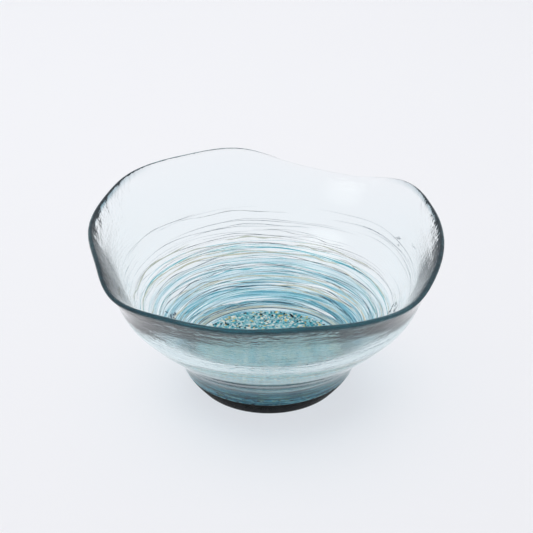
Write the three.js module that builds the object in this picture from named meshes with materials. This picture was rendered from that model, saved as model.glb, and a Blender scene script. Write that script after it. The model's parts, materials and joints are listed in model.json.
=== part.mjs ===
// An art glass bowl: a wide, free-hand bowl on a thick foot, about 205 mm across and 100 mm high.
// Coloured glass is trapped between clear layers: a bed of crushed chips (frit) over a dark foot disc,
// and fine threads that the spinning stretched round the wall. Millimetres, +Z up, the foot on Z = 0.
import * as THREE from "three";

// ---- driving dimensions ----------------------------------------------------------------------
const LIP_RADIUS = 103.5; // mean radius of the outer lip
const LIP_HEIGHT = 93; // mean height of the lip, where its edge starts to round over
const FOOT_RADIUS = 42.5; // where the wall meets the table
const LIP_THICKNESS = 4.8; // the fire-polished edge
const CASING_THICKNESS = 1.7; // clear outer layer of the wall
const THREAD_DIAMETER = 0.8;
const OVERLAY_THICKNESS = 0.5; // the sheet of aqua colour inside the wall
const GATHER_THICKNESS = 1.7; // clear inner layer of the wall
const FOOT_DISC_THICKNESS = 8.5; // dark teal glass
const CRUST_THICKNESS = 1.5; // fine frit, melted to one layer
const CHIP_WIDTH = 6.5; // the widest chips of coarse frit
const CHIP_THICKNESS = 2.4;
const FLOOR_THICKNESS = 3.5; // clear glass between the chips and the inside of the bowl
const FLOOR_RADIUS = 34; // the flat middle of the floor inside
const COLLAR = 12; // the lip is one layer for this far below the edge
const PUNT_RADIUS = 28; // the hollow ground under the foot
const PUNT_DEPTH = 1.2;
const FOOT_BEVEL = 1; // the foot's ground edge
const GAP = 0.3; // clearance between neighbouring layers

// ---- how fine the facets are, and how many pieces repeat -------------------------------------
const SEGMENTS = 48;
const STATIONS = 15;
const LIP_ARC_STEPS = 4;
const THREADS = 20;
const THREAD_SIDES = 5;
const CHIPS = 34;
const GOLDEN_ANGLE = Math.PI * (3 - Math.sqrt(5));

// The outer wall from foot to lip, as shares of the way out and the way up.
const FLARE = [
  [0, 0], [0.12, 0.107], [0.225, 0.25], [0.385, 0.37], [0.6, 0.51], [0.745, 0.645], [0.86, 0.805], [1, 1],
];

// How far the hot lip was pulled out and up, at eighteen even places round it from +X towards +Y.
const LIP_PULLS = [
  [-2.5, -2.5], [1, -0.5], [6.5, -0.5], [2, -6], [-0.5, -3], [3, 5.5], [4, 6], [4, 7], [-0.5, 7.5],
  [-0.5, 6], [-1, 3.5], [5, -1], [3.5, 0.5], [3, 1], [0.5, 0.5], [0, -3], [-1.5, -7], [-4, -5.5],
];
const WAVE_START = 40; // below this height the bowl is round
const WAVE_POWER = 1.6;

// ---- glass colours ---------------------------------------------------------------------------
const glass = (color, roughness = 0.05, opacity = 0.35) =>
  new THREE.MeshStandardMaterial({ color, roughness, metalness: 0, transparent: opacity < 1, opacity });
const CLEAR = glass(0xdfeef0);
const DEEP_TEAL = glass(0x1f4a55, 0.05, 0.85);
const AQUA = glass(0x9fd0d8, 0.05, 0.5);
const CRUST = glass(0x7fb5b8, 0.3, 1);
const FRIT_COLOURS = {
  teal: glass(0x3f9cae, 0.2, 1),
  navy: glass(0x17262f, 0.2, 1),
  white: glass(0xe6ece8, 0.3, 1),
  amber: glass(0xc9a54a, 0.2, 0.9),
};
const THREAD_COLOURS = { dark: glass(0x3c4a5a, 0.1, 0.9), aqua: glass(0x58a3b4, 0.1, 0.8) };

// ---- the wall as a ladder of stations --------------------------------------------------------
const spread = LIP_RADIUS - FOOT_RADIUS;
const outline = new THREE.SplineCurve(
  FLARE.map(([out, up]) => new THREE.Vector2(FOOT_RADIUS + out * spread, up * LIP_HEIGHT)),
);
const wallLength = outline.getLength();
const stations = Array.from({ length: STATIONS + 1 }, (_, i) => {
  const u = i / STATIONS;
  const along = outline.getTangentAt(u);
  return { at: outline.getPointAt(u), inward: new THREE.Vector2(-along.y, along.x) };
});

// A point in the wall: u runs from 0 at the foot to 1 at the lip, and depth goes in from the outer face.
function wallPoint(u, depth) {
  const low = Math.min(Math.floor(u * STATIONS), STATIONS - 1);
  const [a, b] = [stations[low], stations[low + 1]].map((s) => s.at.clone().addScaledVector(s.inward, depth));
  return a.lerp(b, u * STATIONS - low);
}

// Where the layer face at this depth crosses a height.
function shareAtHeight(depth, height) {
  let [low, high] = [0, 1];
  for (let i = 0; i < 40; i++) {
    const middle = (low + high) / 2;
    if (wallPoint(middle, depth).y < height) low = middle;
    else high = middle;
  }
  return (low + high) / 2;
}

// The run of a layer face between two places on the wall, through every station between them.
function layerFace(depth, from, to) {
  const depthAt = typeof depth === "function" ? depth : () => depth;
  const between = stations.map((_, i) => i / STATIONS).filter((u) => u > from + 1e-3 && u < to - 1e-3);
  return [from, ...between, to].map((u) => wallPoint(u, depthAt(u)));
}

// ---- the layers' places in the wall, each from the one outside it ------------------------------
const threadDepth = CASING_THICKNESS + GAP + THREAD_DIAMETER / 2;
const overlayDepth = threadDepth + THREAD_DIAMETER / 2 + GAP;
const gatherDepth = overlayDepth + OVERLAY_THICKNESS + GAP;
const wallThickness = gatherDepth + GATHER_THICKNESS;
const crustBottom = FOOT_DISC_THICKNESS + GAP;
const crustTop = crustBottom + CRUST_THICKNESS;
const chipBottom = crustTop + GAP;
const gatherBottom = chipBottom + CHIP_THICKNESS + GAP;
const floorHeight = gatherBottom + FLOOR_THICKNESS;
const casingTop = shareAtHeight(0, LIP_HEIGHT - COLLAR);
const collarStart = casingTop + GAP / wallLength;
const overlayTop = casingTop - COLLAR / wallLength; // the colour stops short of the clear rim

// ---- the free-hand lip -----------------------------------------------------------------------
const pulls = new THREE.CatmullRomCurve3(
  LIP_PULLS.map(([out, up]) => new THREE.Vector3(out, up, 0)),
  true,
  "catmullrom",
  0.5,
);

// Moves a point of the round bowl to its place in the wavy one. The pull fades out down the wall.
function wave(point) {
  const climb = (point.z - WAVE_START) / (LIP_HEIGHT - WAVE_START);
  if (climb <= 0) return point;
  const angle = Math.atan2(point.y, point.x);
  const pull = pulls.getPoint((angle / (2 * Math.PI) + 1) % 1).multiplyScalar(climb ** WAVE_POWER);
  point.x += pull.x * Math.cos(angle);
  point.y += pull.x * Math.sin(angle);
  point.z += pull.y;
  return point;
}

function waved(geometry) {
  const position = geometry.getAttribute("position");
  const point = new THREE.Vector3();
  for (let i = 0; i < position.count; i++) {
    wave(point.fromBufferAttribute(position, i));
    position.setXYZ(i, point.x, point.y, point.z);
  }
  geometry.computeVertexNormals();
  return geometry;
}

// Turns a profile of (radius, height) points about +Z.
const turned = (profile) => new THREE.LatheGeometry(profile, SEGMENTS).rotateX(Math.PI / 2);
const at = (radius, height) => new THREE.Vector2(radius, height);

function named(name, geometry, material) {
  const mesh = new THREE.Mesh(geometry, material);
  mesh.name = name;
  return mesh;
}

// ---- the glass layers ------------------------------------------------------------------------
function footDisc() {
  const top = shareAtHeight(0, FOOT_DISC_THICKNESS);
  const bevel = shareAtHeight(0, FOOT_BEVEL);
  const profile = [
    at(0, PUNT_DEPTH),
    at(PUNT_RADIUS, PUNT_DEPTH),
    at(PUNT_RADIUS + 2 * PUNT_DEPTH, 0),
    at(FOOT_RADIUS - FOOT_BEVEL, 0),
    ...layerFace(0, bevel, top),
    at(0, FOOT_DISC_THICKNESS),
  ];
  return named("foot_disc", turned(profile), DEEP_TEAL);
}

function fritCrust() {
  const face = CASING_THICKNESS + GAP;
  const profile = [
    at(0, crustBottom),
    ...layerFace(face, shareAtHeight(face, crustBottom), shareAtHeight(face, crustTop)),
    at(0, crustTop),
  ];
  return named("frit_crust", turned(profile), CRUST);
}

function outerCasing() {
  const outer = layerFace(0, shareAtHeight(0, crustBottom), casingTop);
  const start = shareAtHeight(CASING_THICKNESS, crustBottom);
  const inner = layerFace(CASING_THICKNESS, start, casingTop).reverse();
  return named("outer_casing", waved(turned([...outer, ...inner, outer[0]])), CLEAR);
}

function colourOverlay() {
  const [near, far] = [overlayDepth, overlayDepth + OVERLAY_THICKNESS];
  const outer = layerFace(near, shareAtHeight(near, gatherBottom), overlayTop);
  const inner = layerFace(far, shareAtHeight(far, gatherBottom), overlayTop).reverse();
  return named("colour_overlay", waved(turned([...outer, ...inner, outer[0]])), AQUA);
}

// The round edge of the lip, from the outer face over to the inner one.
function lipArc() {
  const [outer, inner] = [wallPoint(1, 0), wallPoint(1, LIP_THICKNESS)];
  const centre = outer.clone().lerp(inner, 0.5);
  const arm = outer.clone().sub(centre);
  return Array.from({ length: LIP_ARC_STEPS - 1 }, (_, i) =>
    arm.clone().rotateAround(at(0, 0), (Math.PI * (i + 1)) / LIP_ARC_STEPS).add(centre),
  );
}

// The inner face keeps the wall one thickness up to the collar, then eases to the lip's own.
function innerDepth(u) {
  const share = THREE.MathUtils.clamp((u - collarStart) / (1 - collarStart), 0, 1);
  return THREE.MathUtils.lerp(wallThickness, LIP_THICKNESS, share);
}

// The inner gather: the floor, the inside of the wall and the whole of the lip, in one piece.
function innerGather() {
  const under = shareAtHeight(gatherDepth, gatherBottom);
  const shoulder = shareAtHeight(wallThickness, floorHeight + 2 * wallThickness);
  const inside = layerFace(innerDepth, shoulder, 1).reverse();
  const floorCurve = new THREE.QuadraticBezierCurve(
    inside.at(-1),
    at(inside.at(-1).x - wallThickness, floorHeight),
    at(FLOOR_RADIUS, floorHeight),
  );
  const profile = [
    at(0, gatherBottom),
    ...layerFace(gatherDepth, under, collarStart),
    ...layerFace(0, collarStart, 1),
    ...lipArc(),
    ...inside,
    ...floorCurve.getPoints(LIP_ARC_STEPS).slice(1),
    at(0, floorHeight),
  ];
  return named("inner_gather", waved(turned(profile)), CLEAR);
}

// ---- threads: each winds part of the way round, climbing a little -----------------------------
function thread(i) {
  const share = i / (THREADS - 1);
  const lowest = shareAtHeight(threadDepth, gatherBottom + 2 * THREAD_DIAMETER);
  const start = THREE.MathUtils.lerp(lowest, overlayTop, share);
  const climb = (overlayTop - lowest) / THREADS / 2;
  const first = Math.round((i * GOLDEN_ANGLE * SEGMENTS) / (2 * Math.PI));
  const steps = SEGMENTS / 6 + ((i * 7) % (SEGMENTS / 4));
  const route = Array.from({ length: steps + 1 }, (_, k) => {
    const turn = ((first + k) * 2 * Math.PI) / SEGMENTS;
    const { x: radius, y: height } = wallPoint(start + (climb * k) / steps, threadDepth);
    return wave(new THREE.Vector3(radius * Math.cos(turn), radius * Math.sin(turn), height));
  });
  const section = new THREE.Shape(
    Array.from({ length: THREAD_SIDES }, (_, k) =>
      at(THREAD_DIAMETER / 2, 0).rotateAround(at(0, 0), (k * 2 * Math.PI) / THREAD_SIDES),
    ),
  );
  const tint = i % 3 === 1 ? "aqua" : "dark";
  const extrudePath = new THREE.CatmullRomCurve3(route);
  const geometry = new THREE.ExtrudeGeometry(section, { steps, extrudePath, bevelEnabled: false });
  return named(`${tint}_thread_${String(i + 1).padStart(2, "0")}`, geometry, THREAD_COLOURS[tint]);
}

// ---- frit: flat angular chips, spread evenly over the crust -----------------------------------
function chip(i) {
  const reach = wallPoint(shareAtHeight(gatherDepth, gatherBottom), gatherDepth).x - CHIP_WIDTH / 2;
  const radius = (CHIP_WIDTH / 2) * (0.55 + 0.09 * ((i * 5) % 6));
  const geometry = new THREE.IcosahedronGeometry(1, 0);
  const position = geometry.getAttribute("position");
  const corner = new THREE.Vector3();
  for (let k = 0; k < position.count; k++) {
    corner.fromBufferAttribute(position, k);
    // The same corner always gets the same nudge, so the chip stays closed.
    const nudge = radius * (0.86 + 0.14 * Math.sin(7 * corner.x + 11 * corner.y + 5 * corner.z + i));
    position.setXYZ(k, corner.x * nudge, corner.y * 0.8 * nudge, (corner.z * CHIP_THICKNESS) / 2);
  }
  const colour = ["teal", "teal", "navy", "teal", "white", "teal", "amber"][i % 7];
  const mesh = named(`frit_${colour}_${String(i + 1).padStart(2, "0")}`, geometry, FRIT_COLOURS[colour]);
  const turn = i * GOLDEN_ANGLE;
  const out = reach * Math.sqrt((i + 0.5) / CHIPS);
  mesh.position.set(out * Math.cos(turn), out * Math.sin(turn), chipBottom + CHIP_THICKNESS / 2);
  mesh.rotation.z = 2.4 * turn;
  return mesh;
}

// ---- the bowl --------------------------------------------------------------------------------
const layers = new THREE.Group().add(footDisc(), fritCrust(), outerCasing(), colourOverlay(), innerGather());
const threads = new THREE.Group().add(...Array.from({ length: THREADS }, (_, i) => thread(i)));
const frit = new THREE.Group().add(...Array.from({ length: CHIPS }, (_, i) => chip(i)));
const bowl = new THREE.Group().add(layers, threads, frit);

export default bowl;
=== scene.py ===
# %% [markdown]
# # A free-blown bowl in clear and teal glass
# The bowl was gathered on a blowpipe, rolled in crushed colour, cased in clear glass and spun open. Spinning
# drew the colour out into threads that run round the wall, and a tug here and there left the lip wavy.
# The file works in metres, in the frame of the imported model, so each piece is made where it belongs. Lengths
# of glass are easier to read in millimetres, so the outlines are written in those and scaled when a mesh is
# made.

# %% The frame
import json
import math
import random

import bpy
import numpy as np
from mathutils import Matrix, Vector

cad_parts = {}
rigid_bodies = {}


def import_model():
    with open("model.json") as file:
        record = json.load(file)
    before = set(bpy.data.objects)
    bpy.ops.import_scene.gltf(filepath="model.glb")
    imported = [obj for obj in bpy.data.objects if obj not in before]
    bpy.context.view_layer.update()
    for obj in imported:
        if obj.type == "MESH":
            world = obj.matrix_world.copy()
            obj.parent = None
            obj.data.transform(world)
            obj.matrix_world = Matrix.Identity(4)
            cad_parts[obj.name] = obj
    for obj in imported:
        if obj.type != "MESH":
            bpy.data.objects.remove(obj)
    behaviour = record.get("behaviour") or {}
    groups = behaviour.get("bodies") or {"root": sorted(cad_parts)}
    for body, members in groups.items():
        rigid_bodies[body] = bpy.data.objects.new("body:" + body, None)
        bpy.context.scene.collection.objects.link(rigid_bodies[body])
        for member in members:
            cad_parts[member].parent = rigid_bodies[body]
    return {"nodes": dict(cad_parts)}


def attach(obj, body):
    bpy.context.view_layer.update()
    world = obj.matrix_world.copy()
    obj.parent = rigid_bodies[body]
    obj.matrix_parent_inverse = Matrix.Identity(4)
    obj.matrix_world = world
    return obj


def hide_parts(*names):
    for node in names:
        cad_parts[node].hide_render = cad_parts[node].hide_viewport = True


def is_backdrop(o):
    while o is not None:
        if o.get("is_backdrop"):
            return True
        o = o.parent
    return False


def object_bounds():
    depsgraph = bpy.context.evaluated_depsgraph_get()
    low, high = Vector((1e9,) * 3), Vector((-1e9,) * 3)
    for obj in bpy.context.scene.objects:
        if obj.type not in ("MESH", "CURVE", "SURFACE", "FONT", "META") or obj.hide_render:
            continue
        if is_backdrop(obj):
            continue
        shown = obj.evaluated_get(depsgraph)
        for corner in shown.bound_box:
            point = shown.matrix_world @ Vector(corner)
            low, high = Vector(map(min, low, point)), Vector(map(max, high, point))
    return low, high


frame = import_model()
cad_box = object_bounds()
scene = bpy.context.scene
print("frame loaded:", len(frame["nodes"]), "nodes, box", cad_box)

# %% [markdown]
# ## The camera
# It looks down at the bowl from about thirty degrees, from nearly a metre away through a long lens, which
# keeps the round of the foot and the round of the lip in a natural proportion.

# %% Camera
LENS = 102.7
AIM = Vector((0, 0, 0.040))
DISTANCE = 0.900
ELEVATION = math.radians(31.5)
TILT_UP = math.radians(1.9)
TURN_LEFT = math.radians(0.09)

camera_data = bpy.data.cameras.new("camera")
camera_data.lens = LENS
camera = bpy.data.objects.new("camera", camera_data)
camera.location = AIM + DISTANCE * Vector((0, -math.cos(ELEVATION), math.sin(ELEVATION)))
camera.rotation_euler = (math.pi / 2 - ELEVATION + TILT_UP, 0, TURN_LEFT)
scene.collection.objects.link(camera)
scene.camera = camera
print("camera at", [round(x, 3) for x in camera.location])

# %% [markdown]
# ## Small helpers
# A colour is written as the hex value that a paint card or a screen shows, and the renderer wants linear
# light, so one function turns the first into the second. Another adds a node to a material, sets it and
# links it, which keeps every material below down to one line per node.

# %% Helpers
MM = 0.001
TURN = 2 * math.pi


def linear(hex_colour):
    """An sRGB hex value as linear red, green, blue and alpha."""
    shares = [int(hex_colour[i:i + 2], 16) / 255 for i in (1, 3, 5)]
    return [s / 12.92 if s <= 0.04045 else ((s + 0.055) / 1.055) ** 2.4 for s in shares] + [1]


def new_material(name):
    """An empty node material and its tree."""
    material = bpy.data.materials.new(name)
    material.use_nodes = True
    material.node_tree.nodes.clear()
    return material, material.node_tree


def add_node(tree, kind, settings=None, links=None):
    """Adds a node, sets its properties and sockets by name, and links sockets to what feeds them."""
    made = tree.nodes.new("ShaderNode" + kind)
    for name, value in (settings or {}).items():
        if isinstance(name, str) and hasattr(made, name):
            setattr(made, name, value)
        else:
            made.inputs[name].default_value = value
    for name, source in (links or {}).items():
        tree.links.new(source, made.inputs[name])
    return made


def only(piece):
    """Deselects everything, then selects this piece and makes it the active one."""
    for thing in bpy.context.view_layer.objects:
        thing.select_set(False)
    piece.select_set(True)
    bpy.context.view_layer.objects.active = piece


def vertex_places(piece):
    """The places of a piece's vertices in millimetres, one row each."""
    flat = np.zeros(len(piece.data.vertices) * 3)
    piece.data.vertices.foreach_get("co", flat)
    return flat.reshape(-1, 3) / MM


print("helpers ready; middle grey is", [round(x, 3) for x in linear("#808080")])

# %% [markdown]
# ## The table
# Glass shows what is around it, so the table is part of the look: pale, matt and wide enough that its edge
# never shows through the bowl.

# %% Table
TABLE_WIDTH = 6.0

bpy.ops.mesh.primitive_plane_add(size=TABLE_WIDTH, location=(0, 0, 0))
table = bpy.context.object
table.name = "table"
paint, tree = new_material("white laminate, matt")
surface = add_node(tree, "BsdfPrincipled", {"Base Color": linear("#f3f3f5"), "Roughness": 0.6, "IOR": 1.3})
add_node(tree, "OutputMaterial", links={"Surface": surface.outputs["BSDF"]})
table.data.materials.append(paint)
table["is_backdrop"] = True
print("table", TABLE_WIDTH, "m wide")

# %% [markdown]
# ## The light
# One big softbox overhead gives the even light and the soft shadow. It is kept out of the mirror images, as
# they would show its hard edge. A soft glow high in the room, behind the camera and to its left, stands for a
# window instead: its image is the pale patch on the back wall. The room lights the table evenly in a plain
# grey, and what is mirrored in the glass or seen through it is a paler, bluer tone, like walls further off.

# %% Light
LAMP_SIZE, LAMP_PLACE, LAMP_WATTS = (1.6, 1.2), (-0.27, 0.45, 1.6), 8.0
WINDOW_DIRECTION = Vector((-0.55, -0.34, 0.77)).normalized()
GLOW_STARTS, GLOW_FULL = 0.94, 0.995  # cosine of the angle from the middle of the window
ROOM = (0.70, 0.705, 0.727, 1)
WINDOW = (1.9, 1.85, 1.8, 1)
FAR_WALLS = (0.80, 0.87, 0.95, 1)
BOUNCES = 40


def softbox(name, size, place, power):
    """A rectangular lamp that faces the bowl."""
    data = bpy.data.lights.new(name, "AREA")
    data.shape = "RECTANGLE"
    data.size, data.size_y = size
    data.energy = power
    lamp = bpy.data.objects.new(name, data)
    lamp.location = place
    lamp.rotation_euler = (-Vector(place)).to_track_quat("-Z", "Y").to_euler()
    scene.collection.objects.link(lamp)
    return lamp


overhead = softbox("overhead softbox", LAMP_SIZE, LAMP_PLACE, LAMP_WATTS)
overhead.visible_glossy = False
world = bpy.data.worlds.new("room")
world.use_nodes = True
room = world.node_tree
where = add_node(room, "TexCoord")
facing = add_node(room, "VectorMath", {"operation": "DOT_PRODUCT", 1: WINDOW_DIRECTION},
                  {0: where.outputs["Generated"]})
glow = add_node(room, "MapRange",
                {"interpolation_type": "SMOOTHSTEP", "From Min": GLOW_STARTS, "From Max": GLOW_FULL},
                {"Value": facing.outputs["Value"]})
rays = add_node(room, "LightPath")
walls = add_node(room, "Mix", {"data_type": "RGBA", 6: FAR_WALLS, 7: ROOM},
                 {0: rays.outputs["Is Diffuse Ray"]})
tone = add_node(room, "Mix", {"data_type": "RGBA", 7: WINDOW}, {0: glow.outputs[0], 6: walls.outputs[2]})
room.links.new(tone.outputs[2], room.nodes["Background"].inputs["Color"])
scene.world = world
scene.view_settings.view_transform = "Standard"
scene.cycles.caustics_refractive = False
scene.cycles.caustics_reflective = False
scene.cycles.max_bounces = BOUNCES
scene.cycles.transmission_bounces = BOUNCES
scene.cycles.transparent_max_bounces = BOUNCES

# %% [markdown]
# ## The outline
# The wall leaves a small foot, flares out to a shoulder and climbs more steeply to the lip. A few measured
# points give the outer face, and a smooth curve runs through them. Any other face in the wall is that curve
# moved inwards, so "how deep" and "how far up" place everything that lies in the glass.

# %% Outline
LIP_RADIUS, LIP_HEIGHT, FOOT_RADIUS = 103.5, 93.0, 42.5
FLARE = [  # share of the way out, share of the way up
    (0, 0), (0.12, 0.107), (0.225, 0.25), (0.385, 0.368),
    (0.6, 0.509), (0.745, 0.633), (0.86, 0.819), (1, 1),
]
OUTER = [(FOOT_RADIUS + out * (LIP_RADIUS - FOOT_RADIUS), up * LIP_HEIGHT) for out, up in FLARE]
NEARBY = 0.004  # how far apart, as a share of the way up, two points give the slope of the wall


def through(points, share, closed=False):
    """Where these shares of the way along fall on a smooth curve through the points."""
    points = np.array(points, float)
    count = len(points)
    place = np.atleast_1d(np.asarray(share, float))
    place = (place % 1) * count if closed else np.clip(place, 0, 1 - 1e-9) * (count - 1)
    first = np.floor(place).astype(int)
    t = (place - first)[:, None]
    near = [(first + k) % count if closed else np.clip(first + k, 0, count - 1) for k in (-1, 0, 1, 2)]
    a, b, c, d = (points[i] for i in near)
    bend, twist = 2 * a - 5 * b + 4 * c - d, 3 * b - a - 3 * c + d
    return 0.5 * (2 * b + (c - a) * t + bend * t ** 2 + twist * t ** 3)


def directions(share):
    """The way up the wall and the way into it at these shares of the way up, as (out, up) pairs."""
    share = np.atleast_1d(np.asarray(share, float))
    ahead = through(OUTER, share + NEARBY) - through(OUTER, share - NEARBY)
    ahead /= np.linalg.norm(ahead, axis=1)[:, None]
    return ahead, np.stack([-ahead[:, 1], ahead[:, 0]], 1)


def wall(share, depth=0.0):
    """Points in the wall as (radius, height), at these shares of the way up and depths below the outside."""
    return through(OUTER, share) + np.reshape(depth, (-1, 1)) * directions(share)[1]


def share_at(depth, height):
    """How far up the wall a height is reached at this depth."""
    shares = np.linspace(0, 1, 2001)
    return np.interp(height, wall(shares, depth)[:, 1], shares)


print("outline of the outer face:", wall(np.linspace(0, 1, 6)).round(1).tolist())

# %% [markdown]
# ## The wave
# While the lip was soft it was pulled out here and let sag there. The pulls are given every twenty degrees
# from +X, as millimetres outwards and upwards, and fade to nothing below the shoulder. Every piece that lies
# in the wall goes through the same wave, so they stay nested.

# %% Wave
LIP_PULLS = [
    (-2.5, -2.5), (1, -0.5), (6.5, -0.5), (2, -6), (-0.5, -3), (3, 5.5), (4, 6), (4, 7), (-0.5, 7.5),
    (-0.5, 6), (-1, 3.5), (5, -1), (3.5, 0.5), (3, 1), (0.5, 0.5), (0, -3), (-1.5, -7), (-4, -5.5),
]
WAVE_START, WAVE_POWER = 40, 2.3


def wave(places):
    """Where points of the round bowl (mm) go when the lip is pulled."""
    x, y, z = places.T
    climb = np.clip((z - WAVE_START) / (LIP_HEIGHT - WAVE_START), 0, None) ** WAVE_POWER
    angle = np.arctan2(y, x)
    out, up = (through(LIP_PULLS, angle / TURN, closed=True) * climb[:, None]).T
    return np.stack([x + out * np.cos(angle), y + out * np.sin(angle), z + up], 1)


print("the lip at +X goes to", wave(np.array([[LIP_RADIUS, 0, LIP_HEIGHT]])).round(1).tolist())

# %% [markdown]
# ## Spinning an outline
# A blown bowl is round because the pipe is turned the whole time, and the spin tool does the same: it sweeps
# an outline once round the Z axis. The doubles at the seam and at the poles are merged before the normals are
# turned outwards. Each point also keeps where it was on the wheel (an attribute called "turned": the angle as
# a cosine and a sine, then radius plus height in decimetres), because the marks in the glass follow the
# turning and not the room.

# %% Spin
SPIN_STEPS = 192
DOUBLES = 2e-6
CREASE = math.radians(40)  # sharper edges than this stay sharp


def spun(name, outline):
    """Spins an outline of (radius, height) points in mm into a closed piece, and waves it."""
    mesh = bpy.data.meshes.new(name)
    corners = [(r * MM, 0, z * MM) for r, z in outline]
    mesh.from_pydata(corners, [(i, i + 1) for i in range(len(corners) - 1)], [])
    piece = bpy.data.objects.new(name, mesh)
    scene.collection.objects.link(piece)
    only(piece)
    bpy.ops.object.mode_set(mode="EDIT")
    bpy.ops.mesh.select_all(action="SELECT")
    bpy.ops.mesh.spin(steps=SPIN_STEPS, angle=TURN, center=(0, 0, 0), axis=(0, 0, 1))
    bpy.ops.mesh.select_all(action="SELECT")
    bpy.ops.mesh.remove_doubles(threshold=DOUBLES)
    bpy.ops.mesh.normals_make_consistent(inside=False)
    bpy.ops.object.mode_set(mode="OBJECT")
    places = vertex_places(piece)
    angle = np.arctan2(places[:, 1], places[:, 0])
    reach = (np.hypot(places[:, 0], places[:, 1]) + places[:, 2]) / 100
    turned = mesh.attributes.new("turned", "FLOAT_VECTOR", "POINT")
    turned.data.foreach_set("vector", np.stack([np.cos(angle), np.sin(angle), reach], 1).ravel())
    mesh.vertices.foreach_set("co", (wave(places) * MM).ravel())
    mesh.update()
    only(piece)
    bpy.ops.object.shade_smooth_by_angle(angle=CREASE)
    print(name, len(mesh.polygons), "faces")
    return piece


def finish_piece(piece, material, replaced):
    """Gives a piece its glass and its body, and hides the nodes of the imported model that it stands for.
    Bounced light passes every piece by, because the paths through clear glass are too rare to find and only add
    noise."""
    piece.data.materials.append(material)
    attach(piece, "root")
    if replaced:
        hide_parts(*replaced)
    piece.visible_diffuse = False


def nodes_named(start):
    """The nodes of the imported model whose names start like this."""
    return [name for name in frame["nodes"] if name.startswith(start)]


# %% [markdown]
# ## The clear glass
# Soda-lime glass bends light by 1.5 and is never quite colourless: a faint blue-green shows in any long path.
# On the near side the last millimetres of the lip are painted a darker teal. This is painted shade, standing in
# for the dark that long paths through the glass give a lip seen edge-on. Blown glass isn't flat either. It
# keeps a fine ripple that runs round with the turning, close-set above the shoulder, and a coarser dimpling
# where the lip was worked. The mirror image is damped low on the outside, so that the dark foot stays dark.
# The Light Path mix lets lamps shine straight through, as a renderer without caustics would otherwise leave
# a black shadow.

# %% Clear glass
GLASS_IOR = 1.5
MIRROR_TINT = (0.78, 0.93, 1.0, 1)
RIPPLES = [  # stretch of the noise, where it starts and is full (radius plus height, dm), least and most (mm)
    ((26, 26, 60), 1.38, 1.52, 0.008, 0.09),
    ((14, 14, 14), 1.80, 1.94, 0.0, 0.6),
]
LIP_SHADE_STARTS, LIP_SHADE_FULL = 1.93, 1.965
FAR_SIDE, NEAR_SIDE = 0.75, 0.25  # sine of the angle round the bowl, where the painted lip shade is gone and is full
DAMPED_ABOVE, DAMPED_BELOW, DAMPING = 0.68, 0.60, 0.85
GLASS_TINT, GLASS_TINT_DENSITY = (0.16, 0.82, 0.88, 1), 10.0


def clear_glass():
    material, tree = new_material("soda-lime glass, blown and fire-polished")
    where = add_node(tree, "Attribute", {"attribute_name": "turned"})
    parts = add_node(tree, "SeparateXYZ", links={0: where.outputs["Vector"]})
    up = parts.outputs["Z"]
    heights = []
    for scale, low, high, least, most in RIPPLES:
        stretch = add_node(tree, "VectorMath", {"operation": "MULTIPLY", 1: scale},
                           {0: where.outputs["Vector"]})
        grain = add_node(tree, "TexNoise", {"Scale": 1.0, "Detail": 2.0}, {"Vector": stretch.outputs[0]})
        share = add_node(tree, "MapRange",
                         {"From Min": low, "From Max": high, "To Min": least, "To Max": most}, {"Value": up})
        heights.append(add_node(tree, "Math", {"operation": "MULTIPLY"},
                                {0: grain.outputs[0], 1: share.outputs[0]}))
    relief = add_node(tree, "Math", {"operation": "ADD"},
                      {0: heights[0].outputs[0], 1: heights[1].outputs[0]})
    bump = add_node(tree, "Bump", {"Strength": 1.0, "Distance": 1 * MM}, {"Height": relief.outputs[0]})
    # painted shade: near the lip, on the near side only, the base colour is darkened to teal
    edge = add_node(tree, "MapRange", {"From Min": LIP_SHADE_STARTS, "From Max": LIP_SHADE_FULL}, {"Value": up})
    near = add_node(tree, "MapRange", {"From Min": FAR_SIDE, "From Max": NEAR_SIDE},
                    {"Value": parts.outputs["Y"]})
    at_lip = add_node(tree, "Math", {"operation": "MULTIPLY"}, {0: edge.outputs[0], 1: near.outputs[0]})
    # painted shade: the darker teal that the near lip is painted with
    painted_lip_shade = add_node(tree, "Mix", {"data_type": "RGBA", 6: (1, 1, 1, 1), 7: linear("#4a8da0")},
                     {0: at_lip.outputs[0]})
    glass = add_node(tree, "BsdfPrincipled", {"Roughness": 0.0, "IOR": GLASS_IOR, "Transmission Weight": 1.0,
                                              "Specular Tint": MIRROR_TINT},
                     {"Base Color": painted_lip_shade.outputs[2], "Normal": bump.outputs[0]})
    unmirrored = add_node(tree, "BsdfRefraction", {"Color": (1, 1, 1, 1), "Roughness": 0.0, "IOR": GLASS_IOR},
                          {"Normal": bump.outputs[0]})
    low = add_node(tree, "MapRange", {"From Min": DAMPED_ABOVE, "From Max": DAMPED_BELOW, "To Max": DAMPING},
                   {"Value": up})
    side = add_node(tree, "NewGeometry")
    outside = add_node(tree, "Math", {"operation": "SUBTRACT", 0: 1.0}, {1: side.outputs["Backfacing"]})
    damped = add_node(tree, "Math", {"operation": "MULTIPLY"}, {0: low.outputs[0], 1: outside.outputs[0]})
    skin = add_node(tree, "MixShader",
                    links={0: damped.outputs[0], 1: glass.outputs[0], 2: unmirrored.outputs[0]})
    clear = add_node(tree, "BsdfTransparent", {"Color": linear("#fafcfd")})
    rays = add_node(tree, "LightPath")
    mix = add_node(tree, "MixShader",
                   links={0: rays.outputs["Is Shadow Ray"], 1: skin.outputs[0], 2: clear.outputs[0]})
    tint = add_node(tree, "VolumeAbsorption", {"Color": GLASS_TINT, "Density": GLASS_TINT_DENSITY})
    add_node(tree, "OutputMaterial", links={"Surface": mix.outputs[0], "Volume": tint.outputs[0]})
    return material


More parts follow.
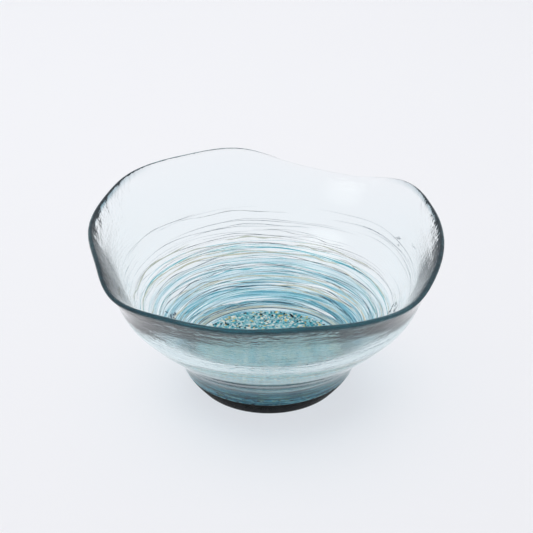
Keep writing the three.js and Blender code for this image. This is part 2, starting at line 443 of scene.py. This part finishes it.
# %% [markdown]
# ## The body
# The inner gather and the outer casing are fused, so the clear glass is one skin: up the outside, over the
# rounded lip, down the inside to a flat floor, and under the foot, where the pontil scar was ground away into
# a shallow hollow. The wall is thick near the foot, thins at the waist, thickens again at the shoulder and
# thins once more towards the lip.

# %% Body
WALL_STEPS, ROUND_STEPS = 90, 14
LIP_THICKNESS, LIP_THINNING, LIP_FROM = 3.0, 1.8, 0.85
WALL_LOW, WALL_HIGH, THINS_FROM, THINS_OVER = 7.2, 4.8, 0.681, 0.365
WAIST_THINNING, WAIST_AT, WAIST_WIDTH = 1.5, 0.464, 0.145
FLOOR_RADIUS, FLOOR_HEIGHT, FLOOR_COLLAR, FLOOR_BEND = 34, 16.8, 11, 7
PUNT_RADIUS, PUNT_DEPTH, PUNT_SLOPE, FOOT_BEVEL = 28, 1.2, 2.4, 1


def inner_depth(share):
    """How thick the wall is at these shares of the way up."""
    t = np.clip((share - THINS_FROM) / THINS_OVER, 0, 1)
    waist = WAIST_THINNING * np.exp(-((share - WAIST_AT) / WAIST_WIDTH) ** 2)
    edge = LIP_THINNING * np.clip((share - LIP_FROM) / (1 - LIP_FROM), 0, 1) ** 2
    return WALL_LOW + (WALL_HIGH - WALL_LOW) * t * t * (3 - 2 * t) - waist - edge


def body_outline():
    """The body's outline from under the foot over the lip to the middle of the floor."""
    under = [(0, PUNT_DEPTH), (PUNT_RADIUS, PUNT_DEPTH), (PUNT_RADIUS + PUNT_SLOPE, 0),
             (FOOT_RADIUS - FOOT_BEVEL, 0)]
    outside = wall(np.linspace(share_at(0, FOOT_BEVEL), 1, WALL_STEPS))
    rim_out, rim_in = outside[-1], wall(1, LIP_THICKNESS)[0]
    centre, arm = (rim_out + rim_in) / 2, (rim_out - rim_in) / 2
    turn = np.linspace(0, math.pi, ROUND_STEPS)[1:-1, None]
    lip = centre + arm * np.cos(turn) + np.array([-arm[1], arm[0]]) * np.sin(turn)
    shares = np.linspace(1, share_at(WALL_LOW, FLOOR_HEIGHT + FLOOR_COLLAR), WALL_STEPS)
    inside = wall(shares, inner_depth(shares))
    start, end = inside[-1], np.array([FLOOR_RADIUS, FLOOR_HEIGHT])
    bend = np.array([start[0] - FLOOR_BEND, FLOOR_HEIGHT])
    t = np.linspace(0, 1, ROUND_STEPS)[1:, None]
    collar = start * (1 - t) ** 2 + bend * 2 * t * (1 - t) + end * t ** 2
    return [*under, *outside, *lip, *inside, *collar, (FLOOR_RADIUS / 2, FLOOR_HEIGHT), (0, FLOOR_HEIGHT)]


body = spun("clear_body", body_outline())
finish_piece(body, clear_glass(), ["inner_gather", "outer_casing"])

# %% [markdown]
# ## The foot disc
# The first gather was a deep teal, and all that is left of it is the disc in the foot. Seen from above it is
# thin and clear; seen from the side the light has over eight centimetres of it to cross and comes out nearly
# black.
# Glass fused inside glass has no surface of its own, so only the colour in its depth is made.

# %% Foot disc
def deep_teal():
    material, tree = new_material("deep teal glass, solid")
    clear = add_node(tree, "BsdfTransparent", {"Color": (1, 1, 1, 1)})
    tint = add_node(tree, "VolumeAbsorption", {"Color": (0.02, 0.25, 0.35, 1), "Density": 170.0})
    add_node(tree, "OutputMaterial", links={"Surface": clear.outputs[0], "Volume": tint.outputs[0]})
    return material


SKIN = 0.06  # how far the disc stays inside the body's surface
FOOT_TOP, FOOT_STEPS = 11.2, 9
side = wall(np.linspace(share_at(SKIN, FOOT_BEVEL), share_at(SKIN, FOOT_TOP), FOOT_STEPS), SKIN)
foot = spun("foot_disc_glass", [
    (0, PUNT_DEPTH + SKIN), (PUNT_RADIUS, PUNT_DEPTH + SKIN), (PUNT_RADIUS + PUNT_SLOPE, SKIN),
    (FOOT_RADIUS - FOOT_BEVEL, SKIN), *side, (0, FOOT_TOP),
])
finish_piece(foot, deep_teal(), ["foot_disc"])
foot.visible_shadow = False

# %% [markdown]
# ## The frit bed
# Frit is glass crushed to grains. The finest of it lies on the disc as a crust of fused grains about a
# millimetre across, in teal, aqua, cream and a few nearly black. Voronoi cells with a random tone each give
# such a bed at once; the grains big enough to cast a shadow are modelled next.

# %% Frit bed
INNER_IOR = 1.05  # glass against glass: it hardly mirrors
GRAIN_WIDTH = 1.25 * MM
BED_RADIUS, BED_LOW, BED_HIGH, BED_ROUND = 47.6, 11.3, 12.8, 0.4
FINE_FRIT = [  # where each colour starts between 0 and 1
    (0, "#7cc7d3"), (0.3, "#459cb1"), (0.45, "#d0eaeb"), (0.62, "#9bd5dc"),
    (0.8, "#1d3a48"), (0.83, "#f0f0e4"), (0.94, "#d2c48a"),
]


def frit_bed_glass():
    material, tree = new_material("fine frit, fused")
    where = add_node(tree, "TexCoord")
    cells = add_node(tree, "TexVoronoi", {"Scale": 1 / GRAIN_WIDTH}, {"Vector": where.outputs["Object"]})
    ramp = add_node(tree, "ValToRGB", {}, {"Fac": cells.outputs["Color"]})
    ramp.color_ramp.interpolation = "CONSTANT"
    for i, (place, tone) in enumerate(FINE_FRIT):
        stop = ramp.color_ramp.elements[i] if i < 2 else ramp.color_ramp.elements.new(place)
        stop.position, stop.color = place, linear(tone)
    grains = add_node(tree, "BsdfPrincipled", {"Roughness": 0.4, "IOR": INNER_IOR},
                      {"Base Color": ramp.outputs[0]})
    clear = add_node(tree, "BsdfTransparent", {"Color": linear("#a6d2dc")})
    rays = add_node(tree, "LightPath")
    mix = add_node(tree, "MixShader",
                   links={0: rays.outputs["Is Shadow Ray"], 1: grains.outputs[0], 2: clear.outputs[0]})
    add_node(tree, "OutputMaterial", links={"Surface": mix.outputs[0]})
    return material


bed = spun("frit_bed", [
    (0, BED_LOW), (BED_RADIUS - BED_ROUND, BED_LOW), (BED_RADIUS, BED_LOW + BED_ROUND),
    (BED_RADIUS, BED_HIGH), (0, BED_HIGH),
])
finish_piece(bed, frit_bed_glass(), ["frit_crust"])

# %% [markdown]
# ## Many copies in one piece
# Frit grains and drawn threads come by the hundred. Each is modelled once; every copy then gets its own
# places for the vertices, and all copies of one colour are laid into one mesh. Each copy also gets a random
# tone between 0 and 1, kept as an attribute, so that no two need look alike.

# %% Copies
COPY_DOUBLES = 1e-7


def gathered(name, template, copies):
    """One piece made of copies of a template, each given as the places (mm) of its vertices."""
    count = len(template.data.vertices)
    faces = [tuple(face.vertices) for face in template.data.polygons]
    mesh = bpy.data.meshes.new(name)
    mesh.from_pydata((np.concatenate(copies) * MM).tolist(), [],
                     [tuple(v + i * count for v in face) for i in range(len(copies)) for face in faces])
    tone = mesh.attributes.new("tone", "FLOAT", "POINT")
    tone.data.foreach_set("value", np.repeat([random.random() for _ in copies], count))
    piece = bpy.data.objects.new(name, mesh)
    scene.collection.objects.link(piece)
    only(piece)
    bpy.ops.object.mode_set(mode="EDIT")
    bpy.ops.mesh.select_all(action="SELECT")
    bpy.ops.mesh.remove_doubles(threshold=COPY_DOUBLES)
    bpy.ops.mesh.normals_make_consistent(inside=False)
    bpy.ops.object.mode_set(mode="OBJECT")
    print(name, len(copies), "copies,", len(mesh.polygons), "faces")
    return piece


def discard(template):
    """Deletes a template once its copies are made."""
    only(template)
    bpy.ops.object.delete()


def toned_glass(name, tones, roughness, see_through=0.0):
    """Coloured glass inside clear glass, whose colour runs through these tones from copy to copy."""
    material, tree = new_material(name)
    tone = add_node(tree, "Attribute", {"attribute_name": "tone"})
    ramp = add_node(tree, "ValToRGB", {}, {"Fac": tone.outputs["Fac"]})
    for i, colour in enumerate(tones):
        place = i / (len(tones) - 1)
        stop = ramp.color_ramp.elements[i] if i < 2 else ramp.color_ramp.elements.new(place)
        stop.position, stop.color = place, linear(colour)
    solid = add_node(tree, "BsdfPrincipled", {"Roughness": roughness, "IOR": INNER_IOR},
                     {"Base Color": ramp.outputs[0]})
    clear = add_node(tree, "BsdfTransparent", links={"Color": ramp.outputs[0]})
    mix = add_node(tree, "MixShader", {0: see_through}, {1: solid.outputs[0], 2: clear.outputs[0]})
    add_node(tree, "OutputMaterial", links={"Surface": mix.outputs[0]})
    return material


# %% [markdown]
# ## The frit grains
# The larger grains are splinters one to four millimetres across, in a bed under two millimetres deep just
# below the floor. One low ball stands for a splinter; each copy is squashed, turned and knocked out of shape.
# They are dealt out evenly over the disc and jittered, with a colour drawn for each. Inside clear glass a
# grain hardly mirrors, so its index against the glass is close to 1 and it only shows its colour.

# %% Frit grains
GRAINS, GRAIN_FIELD = 2800, 47.5
GRAIN_LOW, GRAIN_HIGH = 12.9, 14.6
SMALL, LARGE, JITTER = 0.45, 0.95, 0.6
COARSE_SHARE, COARSER = 0.12, 1.7
WIDTHS, BREADTHS, HEIGHTS, KNOCKS = (0.7, 1.5), (0.6, 1), (0.35, 0.6), (0.7, 1.25)
GOLDEN_ANGLE = math.pi * (3 - math.sqrt(5))
FRIT = [  # colour, share of the grains, tones
    ("teal", 0.57, ["#2a90a8", "#5fc1d0", "#98d7df", "#45a9be", "#c0e7ea"]),
    ("navy", 0.10, ["#0d1a24", "#123547", "#0f2230"]),
    ("white", 0.23, ["#fbfaf0", "#dcecea", "#fdf8e6"]),
    ("amber", 0.10, ["#d8bf66", "#eadf9f", "#b9aa6c"]),
]
COLOURS = [colour for colour, _, _ in FRIT]
SHARES = [share for _, share, _ in FRIT]


def splintered(ball, i):
    """The vertices (mm) of one splinter, in its place on the disc."""
    reach = GRAIN_FIELD * math.sqrt((i + 0.5) / GRAINS)
    angle = i * GOLDEN_ANGLE
    size = random.uniform(SMALL, LARGE) * (COARSER if random.random() < COARSE_SHARE else 1)
    shape = np.array([random.uniform(*span) for span in (WIDTHS, BREADTHS, HEIGHTS)]) * size
    x, y, z = (ball * shape * np.array([[random.uniform(*KNOCKS)] for _ in ball])).T
    spin = random.uniform(0, TURN)
    cos, sin = math.cos(spin), math.sin(spin)
    place = (reach * math.cos(angle) + random.uniform(-JITTER, JITTER),
             reach * math.sin(angle) + random.uniform(-JITTER, JITTER),
             random.uniform(GRAIN_LOW, GRAIN_HIGH))
    return np.stack([x * cos - y * sin, x * sin + y * cos, z], 1) + place


random.seed(11)
bpy.ops.mesh.primitive_ico_sphere_add(subdivisions=1, radius=MM, location=(0, 0, 0))
splinter = bpy.context.object
low_ball = vertex_places(splinter)
dealt = {colour: [] for colour in COLOURS}
for i in range(GRAINS):
    made = splintered(low_ball, i)
    dealt[random.choices(COLOURS, SHARES)[0]].append(made)
for colour, _, tones in FRIT:
    grains = gathered(colour + "_grains", splinter, dealt[colour])
    crushed = toned_glass(colour + " frit, crushed", tones, 0.3)
    finish_piece(grains, crushed, nodes_named("frit_" + colour))
discard(splinter)

# %% [markdown]
# ## The colour overlay
# Over the crust went a thin coat of aqua colour. As the bowl was spun open the coat was drawn out to a film
# with soft bands of aqua, strong by the foot and gone by the shoulder. A film shows no surface inside glass
# and only filters what comes through it, so it is a transparent tint. Noise stretched round the wheel makes
# the bands: wide ones first, then narrower and darker ones, each fading as it climbs. The last set lies low,
# and only on the near side. It is painted shade: a darker teal that stands in for the shade seen through the
# front of the wall by the thick dark foot.

# %% Colour overlay
DRAWN_BANDS = [  # stretch of the noise, its value at a band's edge and middle, colour, gone, full, near side
    ((1.2, 1.2, 26), 0.35, 0.72, "#c4e6ee", 1.22, 0.80, False),
    ((1.6, 1.6, 90), 0.50, 0.70, "#c0e1ea", 1.25, 0.80, False),
    ((2.0, 2.0, 260), 0.58, 0.72, "#87a5b1", 1.20, 0.70, False),
    # painted shade: a darker teal band, low and on the near side only, for the shade seen by the foot
    ((2.6, 2.6, 170), 0.38, 0.60, "#7fbac6", 0.90, 0.78, True),
]
NEAR_SHADE_FROM, NEAR_SHADE_FULL = 0.1, -0.5  # sine of the angle round the bowl
OVERLAY_NEAR, OVERLAY_FAR, OVERLAY_LOW, OVERLAY_HIGH, OVERLAY_STEPS = 1.6, 2.1, 11.8, 78, 60


def drawn_colour_and_near_shade():
    material, tree = new_material("aqua colour, drawn to a film")
    where = add_node(tree, "Attribute", {"attribute_name": "turned"})
    parts = add_node(tree, "SeparateXYZ", links={0: where.outputs["Vector"]})
    near = add_node(tree, "MapRange", {"From Min": NEAR_SHADE_FROM, "From Max": NEAR_SHADE_FULL},
                    {"Value": parts.outputs["Y"]})
    tone = None
    for scale, low, high, colour, gone, full, painted_near_shade in DRAWN_BANDS:
        share = add_node(tree, "MapRange", {"From Min": gone, "From Max": full},
                         {"Value": parts.outputs["Z"]})
        # painted shade: this band is kept to the near side
        if painted_near_shade:
            share = add_node(tree, "Math", {"operation": "MULTIPLY"},
                             {0: near.outputs[0], 1: share.outputs[0]})
        stretch = add_node(tree, "VectorMath", {"operation": "MULTIPLY", 1: scale},
                           {0: where.outputs["Vector"]})
        grain = add_node(tree, "TexNoise", {"Scale": 1.0, "Detail": 1.0}, {"Vector": stretch.outputs[0]})
        band = add_node(tree, "MapRange", {"From Min": low, "From Max": high}, {"Value": grain.outputs[0]})
        share = add_node(tree, "Math", {"operation": "MULTIPLY"}, {0: band.outputs[0], 1: share.outputs[0]})
        mix = add_node(tree, "Mix", {"data_type": "RGBA", "blend_type": "MULTIPLY",
                                     6: (1, 1, 1, 1), 7: linear(colour)}, {0: share.outputs[0]})
        if tone:
            tree.links.new(tone, mix.inputs[6])
        tone = mix.outputs[2]
    clear = add_node(tree, "BsdfTransparent", links={"Color": tone})
    add_node(tree, "OutputMaterial", links={"Surface": clear.outputs[0]})
    return material


lowest, highest = share_at(OVERLAY_NEAR, OVERLAY_LOW), share_at(OVERLAY_NEAR, OVERLAY_HIGH)
shares = np.linspace(lowest, highest, OVERLAY_STEPS)
sheet = [*wall(shares, OVERLAY_NEAR), *wall(shares[::-1], OVERLAY_FAR)]
overlay = spun("colour_overlay_sheet", sheet + sheet[:1])
finish_piece(overlay, drawn_colour_and_near_shade(), ["colour_overlay"])

# %% [markdown]
# ## The drawn threads
# Grains that clung to the wall were pulled out, as the bowl opened, into hair-fine threads of dark, aqua and
# opal glass. Each runs part of the way round, rises a little, swells in the middle and ends in a point. One
# short thread is spun once; a copy takes its own start, length, height and thickness, and is laid into the
# wall inside the overlay. Most lie low, and a few fine ones reach the upper wall. Two closed rings, each of
# four quarters, edge the frit, and short threads heaped in one place make the dark knots.

# %% Threads
THREAD_STEPS, THREAD_SIDES = 24, 4
DARK_DEPTH, AQUA_DEPTH, PALE_DEPTH, RING_DEPTH = 4.3, 3.75, 4.7, 4.6  # below the outside of the wall
LOWEST = 18.5
SPUN_RADIUS, SPUN_THICKNESS = 1, 0.1  # of the thread that is copied
SWAY, UNEVENNESS, POINTEDNESS = 0.4, 0.35, 0.7
SWAYS, SWELLS = 1.7, 3.3  # along the length of a thread
RISE = (-1, 3)
FINE_ABOVE, FINER = 46, 0.6
DARK_THREADS, AQUA_THREADS, PALE_THREADS = 180, 150, 75
RINGS = {"dark": (16.6, 0.5), "pale": (17.4, 0.9)}  # height and thickness
KNOTS = [  # place round the bowl in turns, height, number of threads, thickness
    (0.470, 32, 12, 1.4), (0.985, 48, 10, 1.4), (0.069, 71.5, 3, 0.7), (0.035, 75, 2, 0.6),
]

bpy.ops.mesh.primitive_circle_add(vertices=THREAD_SIDES, radius=SPUN_THICKNESS * MM,
                                  location=(SPUN_RADIUS * MM, 0, 0), rotation=(math.pi / 2, 0, 0))
thread = bpy.context.object
bpy.ops.object.transform_apply(location=True, rotation=True, scale=True)
bpy.ops.object.mode_set(mode="EDIT")
bpy.ops.mesh.select_all(action="SELECT")
bpy.ops.mesh.spin(steps=THREAD_STEPS, angle=1, center=(0, 0, 0), axis=(0, 0, 1))
bpy.ops.object.mode_set(mode="OBJECT")
bent = vertex_places(thread)
ALONG = np.arctan2(bent[:, 1], bent[:, 0])
ALONG = (ALONG - ALONG.min()) / (ALONG.max() - ALONG.min())
ACROSS = (np.hypot(bent[:, 0], bent[:, 1]) - SPUN_RADIUS) / SPUN_THICKNESS
UPWARD = bent[:, 2] / SPUN_THICKNESS


def laid_thread(start, length, height, climb, thickness, depth=DARK_DEPTH, width=1.0, closed=False):
    """A thread's vertices: where it starts and how long it is (turns), its height and rise (mm), its size."""
    sway = SWAY * np.sin(TURN * (SWAYS * ALONG + start)) if not closed else 0 * ALONG
    share = share_at(depth, height + climb * ALONG + sway)
    ahead, inward = directions(share)
    uneven = 1 + UNEVENNESS * np.sin(TURN * (SWELLS * ALONG + 5 * start))
    swell = np.ones_like(ALONG) if closed else np.sin(math.pi * ALONG) ** POINTEDNESS * uneven
    swell = thickness / 2 * swell
    middle = wall(share, depth)
    r, z = (middle + (ACROSS * swell)[:, None] * inward + (UPWARD * swell * width)[:, None] * ahead).T
    angle = TURN * (start + length * ALONG)
    return wave(np.stack([r * np.cos(angle), r * np.sin(angle), z], 1))


random.seed(29)
dark, aqua, pale = [], [], []
for _ in range(DARK_THREADS):
    low = LOWEST + 50 * random.random() ** 1.3
    thick = random.uniform(0.14, 0.38) * (1.0 if low < FINE_ABOVE else FINER)
    dark.append(laid_thread(random.random(), random.uniform(0.06, 0.34), low, random.uniform(*RISE), thick))
for _ in range(AQUA_THREADS):
    low = LOWEST + 31 * random.random() ** 1.2
    aqua.append(laid_thread(random.random(), random.uniform(0.08, 0.4), low, random.uniform(*RISE),
                            random.uniform(0.1, 0.18), AQUA_DEPTH, random.uniform(1, 4)))
for _ in range(PALE_THREADS):
    low = LOWEST + 36 * random.random() ** 1.3
    pale.append(laid_thread(random.random(), random.uniform(0.06, 0.3), low, random.uniform(*RISE),
                            random.uniform(0.2, 0.4), PALE_DEPTH, random.uniform(1, 3)))
for quarter in range(4):
    for threads, (height, thick) in ((dark, RINGS["dark"]), (pale, RINGS["pale"])):
        threads.append(laid_thread(quarter / 4, 1 / 4, height, 0, thick, RING_DEPTH, closed=True))
for turn, height, count, size in KNOTS:
    for _ in range(count):
        dark.append(laid_thread(turn + random.gauss(0, 0.006), random.uniform(0.003, 0.012),
                                height + random.gauss(0, 2), random.uniform(-2, 2),
                                size * random.uniform(0.4, 1)))
print(len(dark), "dark,", len(aqua), "aqua and", len(pale), "pale threads")

# %% [markdown]
# ## The thread glass
# The dark threads are a blue-grey glass that is nearly opaque even when drawn fine. The aqua ones are clear
# enough to see through, so they tint what is behind them. The pale ones are opal, which scatters the light.

# %% Thread glass
dark_piece = gathered("dark_threads_drawn", thread, dark)
dark_glass = toned_glass("blue-grey glass, drawn", ["#1b2f3d", "#32506a", "#456175", "#1f4258"], 0.2, 0.05)
finish_piece(dark_piece, dark_glass, nodes_named("dark_thread"))
aqua_piece = gathered("aqua_threads_drawn", thread, aqua)
aqua_glass = toned_glass("aqua glass, drawn", ["#c6ecf0", "#a2dce4", "#e2f3f1", "#b0e3ea"], 0.2, 0.93)
finish_piece(aqua_piece, aqua_glass, nodes_named("aqua_thread"))
pale_piece = gathered("pale_threads_drawn", thread, pale)
pale_glass = toned_glass("opal glass, drawn", ["#f3efdc", "#e8ecea", "#efe8cc"], 0.3, 0.45)
finish_piece(pale_piece, pale_glass, [])
discard(thread)

# %% [markdown]
# ## Measuring
# The size of what was modelled is written beside the size of the imported model, so the two can be compared.

# %% Measure
size = {"cad_box": [list(c) for c in cad_box], "visual_box": [list(c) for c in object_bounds()]}
print(size)
